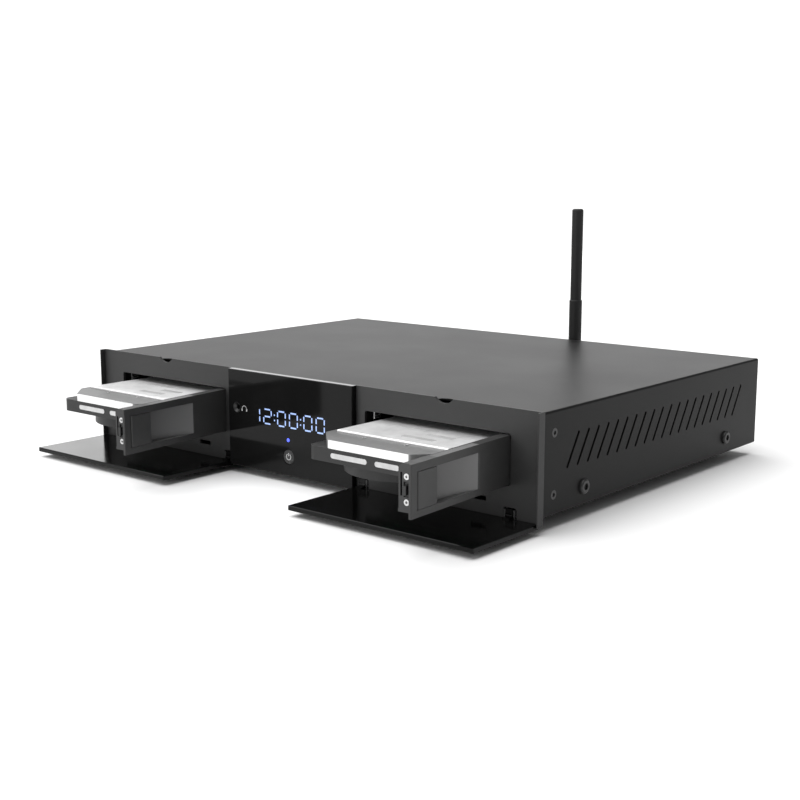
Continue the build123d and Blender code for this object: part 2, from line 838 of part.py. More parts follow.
# Heat sink on the processor
sink_y = rear_y - main_board_depth / 2 - socket_depth / 2
fin_count = int((sink_size - sink_fin) / sink_pitch) + 1
with BuildPart() as processor_heatsink:
    slab(middle(sink_x, sink_size), middle(sink_y, sink_size), (board_top, board_top + sink_base))
    for index in range(fin_count):
        fin_x = sink_x + (index - (fin_count - 1) / 2) * sink_pitch
        slab(middle(fin_x, sink_fin), middle(sink_y, sink_size),
             (board_top + sink_base, board_top + sink_height))
save(processor_heatsink, "processor_heatsink")

# Power supply: its board, and the transformer and two capacitors on it
with BuildPart() as power_supply_board:
    slab(*board_places["supply"], (board_z, board_top))
save(power_supply_board, "power_supply_board")

supply_y = rear_y - main_board_depth + supply_board_depth / 2
with BuildPart() as power_supply_parts:
    slab(middle(supply_x - capacitor_pitch, transformer_width), middle(supply_y, transformer_depth),
         (board_top, board_top + transformer_height))
    for index in range(2):
        capacitor_x = supply_x + (index + 0.5) * capacitor_pitch
        rod_z(capacitor_x, supply_y, (board_top, board_top + capacitor_height), capacitor_radius)
save(power_supply_parts, "power_supply_parts")

# Mains inlet: a deep socket with two pins
inlet_face = rear_y + sheet + socket_proud
inlet_back = inlet_face - inlet_socket_depth
with BuildPart() as mains_inlet:
    slab(middle(inlet_x, inlet_width), (inlet_face - inlet_depth, inlet_face), middle(inlet_z, inlet_height))
    slab(middle(inlet_x, inlet_width - 2 * inlet_wall), (inlet_back, inlet_face),
         middle(inlet_z, inlet_height - 2 * inlet_wall), Mode.SUBTRACT)
    for sign in (-1, 1):
        rod_y(inlet_x + sign * inlet_pin_spacing / 2, (inlet_back, inlet_back + inlet_pin_length), inlet_z,
              inlet_pin_radius)
save(mains_inlet, "mains_inlet")

# Video, data and network sockets along the main board's back edge
with BuildPart() as rear_sockets:
    for socket in rear_socket_sizes.values():
        shell_width, shell_height = socket["shell"]
        mouth_width, mouth_height = socket["mouth"]
        socket_x = main_board_x + socket["shift"]
        slab(middle(socket_x, shell_width), (inlet_face - socket_depth, inlet_face),
             (board_top, board_top + shell_height))
        slab(middle(socket_x, mouth_width), (inlet_face - socket_hollow, inlet_face),
             middle(board_top + shell_height / 2, mouth_height), Mode.SUBTRACT)
save(rear_sockets, "rear_sockets")

with BuildPart() as audio_sockets:
    slab(middle(audio_x, audio_block_width), (rear_y - socket_depth, rear_y),
         (board_top, board_top + audio_block_height))
    for up in (-1, 1):
        plug_z = audio_z + up * audio_pitch / 2
        rod_y(audio_x, (rear_y, rear_y + audio_length), plug_z, audio_radius)
        rod_y(audio_x, (rear_y, rear_y + audio_length), plug_z, audio_bore, Mode.SUBTRACT)
save(audio_sockets, "audio_sockets")

# Aerial
nut_back = rear_y + sheet + aerial_nut_thickness
with BuildPart() as aerial_socket:
    rod_y(aerial_x, (rear_y - aerial_flange_depth, rear_y), aerial_z, aerial_nut)
    rod_y(aerial_x, (rear_y, nut_back + aerial_thread_length), aerial_z, aerial_thread)
    with BuildSketch(front_view(nut_back)) as nut:
        with Locations((aerial_x, aerial_z)):
            RegularPolygon(aerial_nut, 6)
    extrude(nut.sketch, amount=aerial_nut_thickness)
save(aerial_socket, "aerial_socket")

collar_front = nut_back + aerial_face_gap
collar_back = pivot_y - aerial_sleeve - aerial_face_gap
with BuildPart() as aerial_foot:
    rod_y(aerial_x, (collar_front, collar_back), aerial_z, aerial_collar)
    chamfer(aerial_foot.edges().filter_by(GeomType.CIRCLE), aerial_collar_edge)
    slab(middle(aerial_x, aerial_tongue), (collar_back, pivot_y), middle(aerial_z, 2 * aerial_tongue_radius))
    tongue = middle(aerial_x, aerial_tongue)
    rod_x(tongue, pivot_y, aerial_z, aerial_tongue_radius)
    rod_x(tongue, pivot_y, aerial_z, aerial_pin_radius + pin_gap, Mode.SUBTRACT)
    bore = (collar_front, nut_back + aerial_thread_length + aerial_face_gap)
    rod_y(aerial_x, bore, aerial_z, aerial_thread + aerial_swivel_gap, Mode.SUBTRACT)
save(aerial_foot, "aerial_foot")

# The rod's sleeve ends in a fork round the foot's tongue, rounded about the pin
sleeve_top = aerial_z + aerial_sleeve_height
fork_top = aerial_z + aerial_tongue_radius + aerial_fork_gap
with BuildPart() as aerial_rod:
    rod_z(aerial_x, pivot_y, (aerial_z, sleeve_top), aerial_sleeve)
    chamfer(aerial_rod.edges().group_by(Axis.Z)[-1], aerial_sleeve_edge)
    rod_z(aerial_x, pivot_y, (sleeve_top, aerial_z + aerial_length), aerial_rod_radius)
    fillet(aerial_rod.edges().group_by(Axis.Z)[-1], aerial_tip)
    with BuildSketch(Plane.XY.offset(aerial_z - aerial_tongue_radius)) as round_foot:
        with Locations((aerial_x, pivot_y)):
            Circle(aerial_sleeve)
    extrude(round_foot.sketch, amount=aerial_tongue_radius)
    with BuildSketch(right_view(aerial_x - aerial_sleeve)) as below:
        with Locations((pivot_y, aerial_z - aerial_sleeve / 2)):
            Rectangle(3 * aerial_sleeve, aerial_sleeve)
        with Locations((pivot_y, aerial_z)):
            Circle(aerial_tongue_radius, mode=Mode.SUBTRACT)
    extrude(below.sketch, amount=2 * aerial_sleeve, mode=Mode.SUBTRACT)
    slot = middle(aerial_x, aerial_tongue + 2 * aerial_fork_gap)
    slab(slot, middle(pivot_y, 2 * aerial_sleeve), (aerial_z - aerial_sleeve, fork_top), Mode.SUBTRACT)
    rod_x(middle(aerial_x, 2 * aerial_sleeve), pivot_y, aerial_z, aerial_pin_radius + running_gap,
          Mode.SUBTRACT)
save(aerial_rod, "aerial_rod")

with BuildPart() as aerial_pin:
    rod_x(middle(aerial_x, 2 * aerial_sleeve - aerial_sleeve_edge), pivot_y, aerial_z, aerial_pin_radius)
save(aerial_pin, "aerial_pin")


# What each bay holds, made once for the left bay and once for the right
def flap_door(side):
    sign = signs[side]
    with BuildPart() as piece:
        slab(span(sign * flap_inner, sign * flap_outer), (flap_back - flap_length, flap_back),
             (flap_top - flap_thickness, flap_top))
        chamfer(piece.edges(), flap_edge)
        for ear_x in ear_middles:
            ear = middle(sign * ear_x, ear_width)
            slab(ear, (hinge_y - ear_foot, hinge_y), (flap_top, flap_top + ear_foot_thickness))
            slab(ear, middle(hinge_y, ear_arm_thickness), (hinge_z, hinge_z + ear_arm))
            rod_x(ear, hinge_y, hinge_z, ear_knuckle)
            rod_x(ear, hinge_y, hinge_z, hinge_pin_radius + running_gap, Mode.SUBTRACT)
    save(piece, f"{side}_flap_door")


def flap_hinges(side):
    sign = signs[side]
    cheek_z = (hinge_z - hinge_cheek_low, hinge_z + hinge_cheek_top)
    plate_z = (hinge_z + hinge_plate_rise, hinge_z + hinge_plate_rise + hinge_plate_height)
    with BuildPart() as brackets:
        for ear_x in ear_middles:
            for cheek_side in (-1, 1):
                near = sign * ear_x + cheek_side * hinge_cheek_in
                cheek = span(near, near + cheek_side * hinge_cheek)
                slab(cheek, (hinge_y - hinge_cheek_front, panel_back + hinge_cheek_back), cheek_z)
                slab(cheek, (panel_back, panel_back + hinge_cheek_back), (cheek_z[1], plate_z[0] + sheet))
            across = middle(sign * ear_x, hinge_plate_width)
            slab(across, (panel_back, panel_back + sheet), plate_z)
            rod_x(across, hinge_y, hinge_z, hinge_pin_radius + pin_gap, Mode.SUBTRACT)
    save(brackets, f"{side}_flap_hinge_brackets")
    with BuildPart() as pins:
        for ear_x in ear_middles:
            rod_x(middle(sign * ear_x, hinge_plate_width), hinge_y, hinge_z, hinge_pin_radius)
    save(pins, f"{side}_flap_hinge_pins")


def drive_base(side, bay_x):
    centre = bay_x + drive_shift
    lug_bottom = drive_bottom + drive_lug_rise
    chamber_y = drive_front + chamber_front + chamber_radius
    with BuildPart() as piece:
        slab(middle(centre, drive_width), (drive_front, drive_back), (lug_bottom, base_top))
        fillet(piece.edges().filter_by(Axis.Z).group_by(Axis.Y)[0], drive_base_corner)
        slab(middle(centre, drive_width), (drive_front + shoulder_front, drive_back),
             (base_bottom, lug_bottom))
        rod_z(centre - chamber_shift, chamber_y, (base_bottom, lug_bottom), chamber_radius)
        for rail_side in (-1, 1):
            edge = centre + rail_side * drive_width / 2
            rail = span(edge, edge - rail_side * drive_rail)
            slab(rail, (drive_front + shoulder_front, drive_back), (drive_bottom, base_bottom))
            for place in drive_hole_places:
                hole = span(edge, edge - rail_side * drive_hole_depth)
                rod_x(hole, drive_front + place, drive_bottom + drive_hole_rise, drive_hole_radius,
                      Mode.SUBTRACT)
        slab(middle(centre, drive_port_width), (drive_back - drive_port_depth, drive_back),
             (base_bottom, base_bottom + drive_port_height), Mode.SUBTRACT)
    save(piece, f"{side}_drive_base")


def drive_cover(side, bay_x):
    centre = bay_x + drive_shift
    with BuildPart() as piece:
        with BuildSketch(Plane.XY.offset(base_top)) as rim:
            with Locations((centre, (drive_front + drive_back) / 2)):
                Rectangle(drive_width, drive_length)
            chamfer(rim.vertices().group_by(Axis.Y)[0], length=drive_corner_x, length2=drive_corner_y)
        extrude(amount=drive_rim_height)
        slanted = piece.edges().filter_by(Axis.Z).group_by(Axis.Y)
        fillet(slanted[0] + slanted[1], drive_corner_soft)
        slab(middle(centre, plateau_width), (drive_front + plateau_front, drive_back - plateau_back),
             (rim_top, drive_top))
        chamfer(piece.edges().group_by(Axis.Z)[-1], plateau_edge)
    save(piece, f"{side}_drive_cover")


def drive_board(side, bay_x):
    board_y = (drive_front + drive_board_front, drive_front + drive_board_front + drive_board_length)
    with BuildPart() as piece:
        slab(middle(bay_x + drive_shift, drive_board_width), board_y, (drive_bottom, base_bottom))
    save(piece, f"{side}_drive_board")


def rack_cage(side, bay_x):
    drive_edges = middle(bay_x + drive_shift, drive_width + 2 * drive_side_gap)
    tail_reach = hypot(swing_tail, swing_front)
    guides = {
        "left": ((bay_x - cage_inside, drive_edges[0]), guide_front),
        "right": ((drive_edges[1], bay_x + cage_inside), swing_y + tail_reach + guide_gap),
    }
    ledges = {
        "left": (drive_edges[0], drive_edges[0] + ledge_width),
        "right": (drive_edges[1] - ledge_width, drive_edges[1]),
    }
    guide_back = cage_back - guide_tail
    closed_end = bay_x + swing_shift - swing_length
    tongue_front = swing_y - tongue_low - tongue_thickness
    with BuildPart() as piece:
        slab(middle(bay_x, 2 * cage_outside), (cage_front, cage_back),
             (cage_floor - cage_wall, cage_roof + cage_wall))
        slab(middle(bay_x, 2 * cage_inside), (cage_front, cage_back), (cage_floor, cage_roof), Mode.SUBTRACT)
        for across, front in guides.values():
            slab(across, (front, guide_back), (cage_floor, cage_floor + guide_height))
        for across in ledges.values():
            slab(across, (guide_front, guide_back), (cage_floor, drive_bottom - drive_under_gap))
        slab((bay_x - cage_inside, closed_end - keeper_gap), (cage_front, tongue_front - drive_under_gap),
             middle(latch_z, keeper_height))
        rod_z(bay_x + swing_shift, swing_y, (cage_floor - cage_wall, cage_roof + cage_wall),
              swing_pin_radius + pin_gap, Mode.SUBTRACT)
    save(piece, f"{side}_rack_cage")


def rack_fittings(side, bay_x):
    bridge_half = bridge_width / 2
    with BuildPart() as bridge:
        slab(middle(bay_x, bridge_width), bridge_y, (bridge_top - bridge_sheet, bridge_top))
        for leg_side in (-1, 1):
            edge = bay_x + leg_side * bridge_half
            slab(span(edge, edge - leg_side * bridge_sheet), bridge_y, (pan_top, bridge_top))
            slab(span(edge, edge + leg_side * bridge_foot), bridge_y, (pan_top, pan_top + bridge_sheet))
    save(bridge, f"{side}_rack_bridge")
    with BuildPart() as rings:
        for leg_side in (-1, 1):
            for ring_y in (bridge_y[0] + ring_inset, bridge_y[1] - ring_inset):
                ring_x = bay_x + leg_side * (bridge_half - ring_inset)
                rod_z(ring_x, ring_y, (bridge_top, bridge_top + ring_height), ring_radius)
                rod_z(ring_x, ring_y, (bridge_top, bridge_top + ring_height), ring_bore, Mode.SUBTRACT)
    save(rings, f"{side}_rack_rings")
    with BuildPart() as backplane:
        slab(middle(bay_x, 2 * cage_outside), (cage_back, cage_back + backplane_thickness),
             (cage_floor - cage_wall, cage_roof + cage_wall))
        inserted_back = front_y + drive_in + drive_length
        port_z = (base_bottom + receptacle_gap, base_bottom + drive_port_height - receptacle_gap)
        slab(middle(bay_x + drive_shift, drive_port_width - 2 * receptacle_gap),
             (inserted_back - receptacle_reach, cage_back), port_z)
    save(backplane, f"{side}_rack_backplane")
    spring_z = (cage_floor + spring_rise, cage_floor + spring_rise + spring_height)
    wall_x = bay_x - cage_inside
    leaf_x = bay_x + swing_shift - swing_length - keeper_gap
    with BuildPart() as catch_spring:
        slab((wall_x, wall_x + spring_thickness), (guide_front - spring_length / 2, guide_front), spring_z)
        slab((wall_x, leaf_x), (guide_front - spring_thickness, guide_front), spring_z)
        slab((leaf_x - spring_thickness, leaf_x), (guide_front - spring_length, guide_front), spring_z)
    save(catch_spring, f"{side}_catch_spring")


def swing_door(side, bay_x):
    skin_back = swing_front - swing_skin
    lip_back = -swing_back - swing_lip
    round_middle = swing_tail_round * cos(radians(45))
    soft_middle = swing_tail_soft * cos(radians(45))
    with BuildPart() as piece:
        with BuildSketch(door_section(side, -swing_tail)) as profile:
            with BuildLine():
                Polyline(
                    (swing_front, swing_bottom),
                    (swing_front, swing_top),
                    (swing_top_slope_in - swing_back, swing_top),
                    (-swing_back, swing_top - swing_top_slope),
                    (-swing_back, lip_top),
                    (lip_back, lip_top),
                    (lip_back, lip_bottom),
                    (skin_back, lip_bottom),
                    (skin_back, swing_bottom),
                    close=True,
                )
            make_face()
        extrude(profile.sketch, amount=swing_tail + swing_length)
        with BuildSketch(door_plan(side, swing_bottom)) as plan:
            with BuildLine():
                soft = (swing_tail_soft - swing_tail, lip_back + swing_tail_soft)
                rounded = (swing_tail_round - swing_tail, swing_front - swing_tail_round)
                Polyline(
                    (rounded[0], swing_front),
                    (swing_length - swing_edge, swing_front),
                    (swing_length, swing_front - swing_edge),
                    (swing_length, skin_back),
                    (swing_end, skin_back),
                    (swing_end, lip_back),
                    (soft[0], lip_back),
                )
                ThreePointArc((soft[0], lip_back), (soft[0] - soft_middle, soft[1] - soft_middle),
                              (-swing_tail, soft[1]))
                Line((-swing_tail, soft[1]), (-swing_tail, rounded[1]))
                ThreePointArc((-swing_tail, rounded[1]),
                              (rounded[0] - round_middle, rounded[1] + round_middle),
                              (rounded[0], swing_front))
            make_face()
        extrude(plan.sketch, amount=swing_top - swing_bottom, mode=Mode.INTERSECT)
        with BuildSketch(door_plan(side, well_bottom)) as well:
            with BuildLine():
                ramp_middle = ((well_start + scoop_end) / 2, (swing_front + scoop_floor) / 2 - scoop_hollow)
                ThreePointArc((well_start, swing_front), ramp_middle, (scoop_end, scoop_floor))
                Polyline((scoop_end, scoop_floor), (scoop_end, well_floor), (well_end, well_floor),
                         (well_end, swing_front), (well_start, swing_front))
            make_face()
        extrude(well.sketch, amount=well_top - well_bottom, mode=Mode.SUBTRACT)
        rod_z(bay_x + swing_shift, swing_y, (swing_bottom, swing_top), swing_pin_radius + running_gap,
              Mode.SUBTRACT)
        lever_at = door_point(side, lever_pivot, lever_pivot_in, 0)
        rod_z(lever_at.X, lever_at.Y, (well_bottom - lever_pin_seat, well_top + lever_pin_seat),
              lever_pin_radius + pin_gap, Mode.SUBTRACT)
        door_slab(side, (well_end, swing_end),
                  (tongue_low - tongue_gap, tongue_low + tongue_thickness + tongue_gap),
                  middle(latch_z, tongue_height + 2 * tongue_gap), Mode.SUBTRACT)
        door_slab(side, (swing_end - tongue_bay_depth, swing_end), (tongue_bay_low, skin_back),
                  middle(latch_z, tongue_bay_height), Mode.SUBTRACT)
        door_slab(side, (swing_end - end_slot_depth, swing_end), middle(end_slot_in, end_slot_width),
                  (swing_bottom + end_slot_rise, swing_bottom + end_slot_rise + end_slot_height),
                  Mode.SUBTRACT)
        sink_floor = swing_end - end_screw_sink
        for up in (-1, 1):
            screw_z = latch_z + up * end_screw_spacing / 2
            door_rod(side, (sink_floor, swing_end), end_screw_in, screw_z, end_screw_head + screw_gap,
                     Mode.SUBTRACT)
            door_rod(side, (sink_floor - end_screw_length, sink_floor), end_screw_in, screw_z,
                     end_screw_shank + pin_gap, Mode.SUBTRACT)
    save(piece, f"{side}_swing_door")


def swing_fittings(side, bay_x):
    with BuildPart() as hinge_pin:
        rod_z(bay_x + swing_shift, swing_y, (cage_floor - cage_wall, cage_roof + cage_wall), swing_pin_radius)
    save(hinge_pin, f"{side}_swing_pin")
    lever_at = door_point(side, lever_pivot, lever_pivot_in, 0)
    lever_z = (well_bottom + lever_side_gap, well_top - lever_side_gap)
    lever_top = swing_front + lever_proud
    with BuildPart() as lever:
        door_slab(side, (scoop_end + lever_gap, lever_end), (lever_top - lever_thickness, lever_top), lever_z)
        free_corner = door_point(side, scoop_end + lever_gap, lever_top, latch_z)
        chamfer(lever.edges().sort_by_distance(free_corner)[0], swing_edge)
        pivot_corner = door_point(side, lever_end, lever_top, latch_z)
        fillet(lever.edges().sort_by_distance(pivot_corner)[0], lever_round)
        rod_z(lever_at.X, lever_at.Y, (lever_z[0], lever_z[0] + lever_boss_length), lever_boss_radius)
        rod_z(lever_at.X, lever_at.Y, (lever_z[1] - lever_boss_length, lever_z[1]), lever_boss_radius)
        rod_z(lever_at.X, lever_at.Y, lever_z, lever_pin_radius + running_gap, Mode.SUBTRACT)
    save(lever, f"{side}_latch_lever")
    with BuildPart() as lever_pin:
        rod_z(lever_at.X, lever_at.Y, (well_bottom - lever_pin_seat, well_top + lever_pin_seat),
              lever_pin_radius)
    save(lever_pin, f"{side}_lever_pin")
    with BuildPart() as latch_tongue:
        door_slab(side, (tongue_start, tongue_end), (tongue_low, tongue_low + tongue_thickness),
                  middle(latch_z, tongue_height))
    save(latch_tongue, f"{side}_latch_tongue")
    sink_floor = swing_end - end_screw_sink
    head = (sink_floor, swing_end + end_screw_proud)
    with BuildPart() as end_screws:
        for up in (-1, 1):
            screw_z = latch_z + up * end_screw_spacing / 2
            door_rod(side, head, end_screw_in, screw_z, end_screw_head)
            door_rod(side, (sink_floor - end_screw_length, sink_floor), end_screw_in, screw_z,
                     end_screw_shank)
            door_hex(side, (head[1] - end_screw_socket_depth, head[1]), end_screw_in, screw_z,
                     end_screw_socket, Mode.SUBTRACT)
    save(end_screws, f"{side}_end_screws")


for side, bay_x in bays.items():
    flap_door(side)
    flap_hinges(side)
    drive_base(side, bay_x)
    drive_cover(side, bay_x)
    drive_board(side, bay_x)
    rack_cage(side, bay_x)
    rack_fittings(side, bay_x)
    swing_door(side, bay_x)
    swing_fittings(side, bay_x)
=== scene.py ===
import math

import bmesh
import bpy
from mathutils import Matrix, Vector


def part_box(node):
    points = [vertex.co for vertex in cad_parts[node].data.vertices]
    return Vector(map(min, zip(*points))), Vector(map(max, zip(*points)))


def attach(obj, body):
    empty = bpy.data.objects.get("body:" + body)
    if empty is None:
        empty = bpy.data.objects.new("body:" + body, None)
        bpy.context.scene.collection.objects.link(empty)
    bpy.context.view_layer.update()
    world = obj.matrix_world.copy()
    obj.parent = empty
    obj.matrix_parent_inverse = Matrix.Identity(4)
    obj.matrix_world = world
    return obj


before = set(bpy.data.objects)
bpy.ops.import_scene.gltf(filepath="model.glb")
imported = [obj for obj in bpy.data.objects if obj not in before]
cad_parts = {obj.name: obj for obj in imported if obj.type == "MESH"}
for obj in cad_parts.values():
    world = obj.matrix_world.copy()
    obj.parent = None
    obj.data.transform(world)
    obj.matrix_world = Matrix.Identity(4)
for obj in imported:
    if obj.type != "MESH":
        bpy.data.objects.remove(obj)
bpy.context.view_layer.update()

print("frame loaded:", len(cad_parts), "nodes")


def finishPiece(name, shape, material, body, smooth=True):
    # turns a bmesh into an object that rides on a body
    mesh = bpy.data.meshes.new(name)
    bmesh.ops.recalc_face_normals(shape, faces=shape.faces)
    shape.to_mesh(mesh)
    shape.free()
    mesh.materials.append(material)
    piece = bpy.data.objects.new(name, mesh)
    bpy.context.scene.collection.objects.link(piece)
    if smooth:
        mesh.shade_smooth()
        mesh.set_sharp_from_angle(angle=math.radians(35))
    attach(piece, body)
    return piece


def placing(origin, right, up):
    # a matrix that takes x to right, y to up and z to the direction that faces the viewer
    right, up = Vector(right).normalized(), Vector(up).normalized()
    out = right.cross(up)
    turn = Matrix((right, up, out)).transposed().to_4x4()
    return Matrix.Translation(Vector(origin)) @ turn


def addPlate(shape, place, size, thickness, radius=0.0, segments=6):
    # a flat plate with rounded corners, standing out from its place towards the viewer
    made = bmesh.ops.create_grid(shape, x_segments=1, y_segments=1, size=0.5)
    verts = made["verts"]
    bmesh.ops.scale(shape, vec=(size[0], size[1], 1), verts=verts)
    if radius > 0:
        bevelled = bmesh.ops.bevel(shape, geom=verts, offset=radius, offset_type="OFFSET", affect="VERTICES",
                                   segments=segments, profile=0.5, material=-1)
        face = next(face for vert in bevelled["verts"] for face in vert.link_faces)
    else:
        face = verts[0].link_faces[0]
    raised = bmesh.ops.extrude_face_region(shape, geom=[face])
    top = [item for item in raised["geom"] if isinstance(item, bmesh.types.BMVert)]
    bmesh.ops.translate(shape, vec=(0, 0, thickness), verts=top)
    linked = set(top)
    spread = list(top)
    while spread:
        for edge in spread.pop().link_edges:
            for vert in edge.verts:
                if vert not in linked:
                    linked.add(vert)
                    spread.append(vert)
    bmesh.ops.transform(shape, matrix=place, verts=list(linked))


def addDisc(shape, place, radius, thickness, segments=32, inner=0.0):
    # a disc, or a ring where inner is given, standing out from its place towards the viewer
    before = set(shape.verts)
    rim = [shape.verts.new((inner, 0, 0)), shape.verts.new((radius, 0, 0)),
           shape.verts.new((radius, 0, thickness)), shape.verts.new((inner, 0, thickness))]
    profile = [shape.edges.new((rim[index], rim[(index + 1) % 4])) for index in range(4 if inner else 3)]
    bmesh.ops.spin(shape, geom=rim + profile, cent=(0, 0, 0), axis=(0, 0, 1), angle=2 * math.pi,
                   steps=segments, use_merge=True)
    made = [vert for vert in shape.verts if vert not in before]
    bmesh.ops.remove_doubles(shape, verts=made, dist=1e-6)
    made = [vert for vert in shape.verts if vert not in before]
    bmesh.ops.transform(shape, matrix=place, verts=made)


def addArc(shape, place, radius, width, thickness, start, end, steps=24):
    # part of a flat ring between two angles, in degrees from the right, turning towards up
    before = set(shape.verts)
    corners = [(radius - width / 2, 0), (radius + width / 2, 0), (radius + width / 2, thickness),
               (radius - width / 2, thickness)]
    turn = Matrix.Rotation(math.radians(start), 4, "Z")
    rim = [shape.verts.new(turn @ Vector((x, 0, z))) for x, z in corners]
    face = shape.faces.new(rim)
    bmesh.ops.spin(shape, geom=[face], cent=(0, 0, 0), axis=(0, 0, 1), angle=math.radians(end - start),
                   steps=steps, use_merge=False)
    made = [vert for vert in shape.verts if vert not in before]
    bmesh.ops.transform(shape, matrix=place, verts=made)


class Flow:
    # wraps a shader socket, so that an expression on flows adds its Math nodes
    def __init__(self, shader, socket):
        self.shader = shader
        self.socket = socket

    def maths(self, operation, *others):
        return self.shader.add("Math", {"operation": operation}, dict(enumerate((self,) + others)))

    def __add__(self, other):
        return self.maths("ADD", other)

    def __sub__(self, other):
        return self.maths("SUBTRACT", other)

    def __rsub__(self, other):
        return self.shader.add("Math", {"operation": "SUBTRACT"}, {0: other, 1: self})

    def __mul__(self, other):
        return self.maths("MULTIPLY", other)

    def __gt__(self, other):
        return self.maths("GREATER_THAN", other)

    def __lt__(self, other):
        return self.maths("LESS_THAN", other)

    __radd__ = __add__
    __rmul__ = __mul__


class Finish:
    # a material in the making
    def __init__(self, name):
        self.material = bpy.data.materials.new(name)
        self.material.use_nodes = True
        self.tree = self.material.node_tree
        self.tree.nodes.clear()

    def add(self, kind, settings=None, sockets=None, out=0):
        node = self.tree.nodes.new("ShaderNode" + kind)
        for name, value in (settings or {}).items():
            setattr(node, name, value)
        for name, value in (sockets or {}).items():
            if isinstance(value, Flow):
                self.tree.links.new(value.socket, node.inputs[name])
            else:
                node.inputs[name].default_value = value
        return Flow(self, node.outputs[out]) if node.outputs else None

    def place(self, scale):
        # the point in the object's own frame, scaled for a pattern
        return self.add("Mapping", None, {"Vector": self.add("TexCoord", out=3), "Scale": scale})

    def axis(self, index):
        # one coordinate of the point, in metres in the object's own frame
        return self.add("SeparateXYZ", None, {"Vector": self.add("TexCoord", out=3)}, index)

    def noise(self, size, detail=3.0, rough=0.55, stretch=(1, 1, 1)):
        # size is that of the largest blotch, in metres
        scale = tuple(factor / size for factor in stretch)
        return self.add("TexNoise", None, {"Vector": self.place(scale), "Scale": 1.0, "Detail": detail,
                                           "Roughness": rough})

    def levels(self, value, low, high, fromLow=0.3, fromHigh=0.7):
        return self.add("MapRange", None, {"Value": value, "From Min": fromLow, "From Max": fromHigh,
                                           "To Min": low, "To Max": high})

    def mix(self, factor, first, second):
        return self.add("Mix", {"data_type": "RGBA"}, {0: factor, 6: first, 7: second}, out=2)

    def bump(self, height, distance):
        return self.add("Bump", None, {"Height": height, "Distance": distance, "Strength": 1.0})

    def done(self, **sockets):
        named = {name.replace("_", " "): value for name, value in sockets.items()}
        self.add("OutputMaterial", None, {"Surface": self.add("BsdfPrincipled", None, named)})
        return self.material


def grey(value):
    return (value, value, value, 1)


# how far the clouds in a finish go from its shade
coatClouds = {"dark": 0.9, "pale": 1.1}
metalClouds = {"size": 0.03, "dark": 0.92, "pale": 1.05}


def powderCoat(name, look):
    # sprayed satin coat: a fine grain, and faint clouds of more and less gloss
    made = Finish(name)
    grain = made.noise(look["grain"], 2.0)
    clouds = made.noise(look["clouds"], 3.0)
    tone = made.mix(made.levels(clouds, 0, 1), grey(look["shade"] * coatClouds["dark"]),
                    grey(look["shade"] * coatClouds["pale"]))
    return made.done(Base_Color=tone, Roughness=made.levels(clouds, look["gloss"][0], look["gloss"][1]),
                     Specular_IOR_Level=look["shine"], Normal=made.bump(grain, look["depth"]))


def brushedMetal(name, look):
    # fine lines along one direction
    made = Finish(name)
    lines = made.noise(look["line"], 2.0, 0.6, look["stretch"])
    clouds = made.noise(metalClouds["size"], 3.0)
    tone = made.mix(made.levels(clouds, 0, 1), grey(look["shade"] * metalClouds["dark"]),
                    grey(look["shade"] * metalClouds["pale"]))
    return made.done(Base_Color=tone, Metallic=1.0,
                     Roughness=made.levels(lines, look["gloss"][0], look["gloss"][1]),
                     Normal=made.bump(lines, look["depth"]))


# each coat: how dark it is, the range of its roughness, its shine, and the size and depth of its grain
coatLooks = {
    "panelCoat": {"shade": 0.034, "gloss": (0.42, 0.52), "shine": 0.3, "grain": 0.0006, "clouds": 0.05,
                  "depth": 0.00002},
    "caseCoat": {"shade": 0.008, "gloss": (0.38, 0.41), "shine": 0.11, "grain": 0.0005, "clouds": 0.08,
                 "depth": 0.000015},
    "flapGloss": {"shade": 0.003, "gloss": (0.1, 0.16), "shine": 0.15, "grain": 0.001, "clouds": 0.06,
                  "depth": 0.000003},
    "windowGloss": {"shade": 0.007, "gloss": (0.06, 0.1), "shine": 0.12, "grain": 0.002, "clouds": 0.06,
                    "depth": 0.000002},
    "buttonGloss": {"shade": 0.03, "gloss": (0.2, 0.3), "shine": 0.4, "grain": 0.001, "clouds": 0.01,
                    "depth": 0.000003},
    "leverPlastic": {"shade": 0.034, "gloss": (0.4, 0.5), "shine": 0.4, "grain": 0.0005, "clouds": 0.02,
                     "depth": 0.00002},
    "rackCoat": {"shade": 0.008, "gloss": (0.5, 0.6), "shine": 0.2, "grain": 0.0006, "clouds": 0.03,
                 "depth": 0.00002},
    "blackSteel": {"shade": 0.02, "gloss": (0.35, 0.45), "shine": 0.5, "grain": 0.0005, "clouds": 0.01,
                   "depth": 0.00001},
    "blackPlastic": {"shade": 0.012, "gloss": (0.3, 0.42), "shine": 0.5, "grain": 0.0004, "clouds": 0.02,
                     "depth": 0.00001},
    "softRubber": {"shade": 0.012, "gloss": (0.5, 0.65), "shine": 0.35, "grain": 0.0004, "clouds": 0.01,
                   "depth": 0.00002},
    "castMetal": {"shade": 0.014, "gloss": (0.4, 0.55), "shine": 0.4, "grain": 0.0009, "clouds": 0.02,
                  "depth": 0.00003},
    "paleLabel": {"shade": 0.55, "gloss": (0.35, 0.5), "shine": 0.4, "grain": 0.0005, "clouds": 0.006,
                  "depth": 0.000004},
    "greyMark": {"shade": 0.42, "gloss": (0.4, 0.5), "shine": 0.4, "grain": 0.0005, "clouds": 0.006,
                 "depth": 0.000004},
    "whiteMark": {"shade": 0.5, "gloss": (0.4, 0.5), "shine": 0.4, "grain": 0.0005, "clouds": 0.02,
                  "depth": 0.000004},
    "moduleBlack": {"shade": 0.02, "gloss": (0.3, 0.4), "shine": 0.5, "grain": 0.0005, "clouds": 0.02,
                    "depth": 0.00001},
}
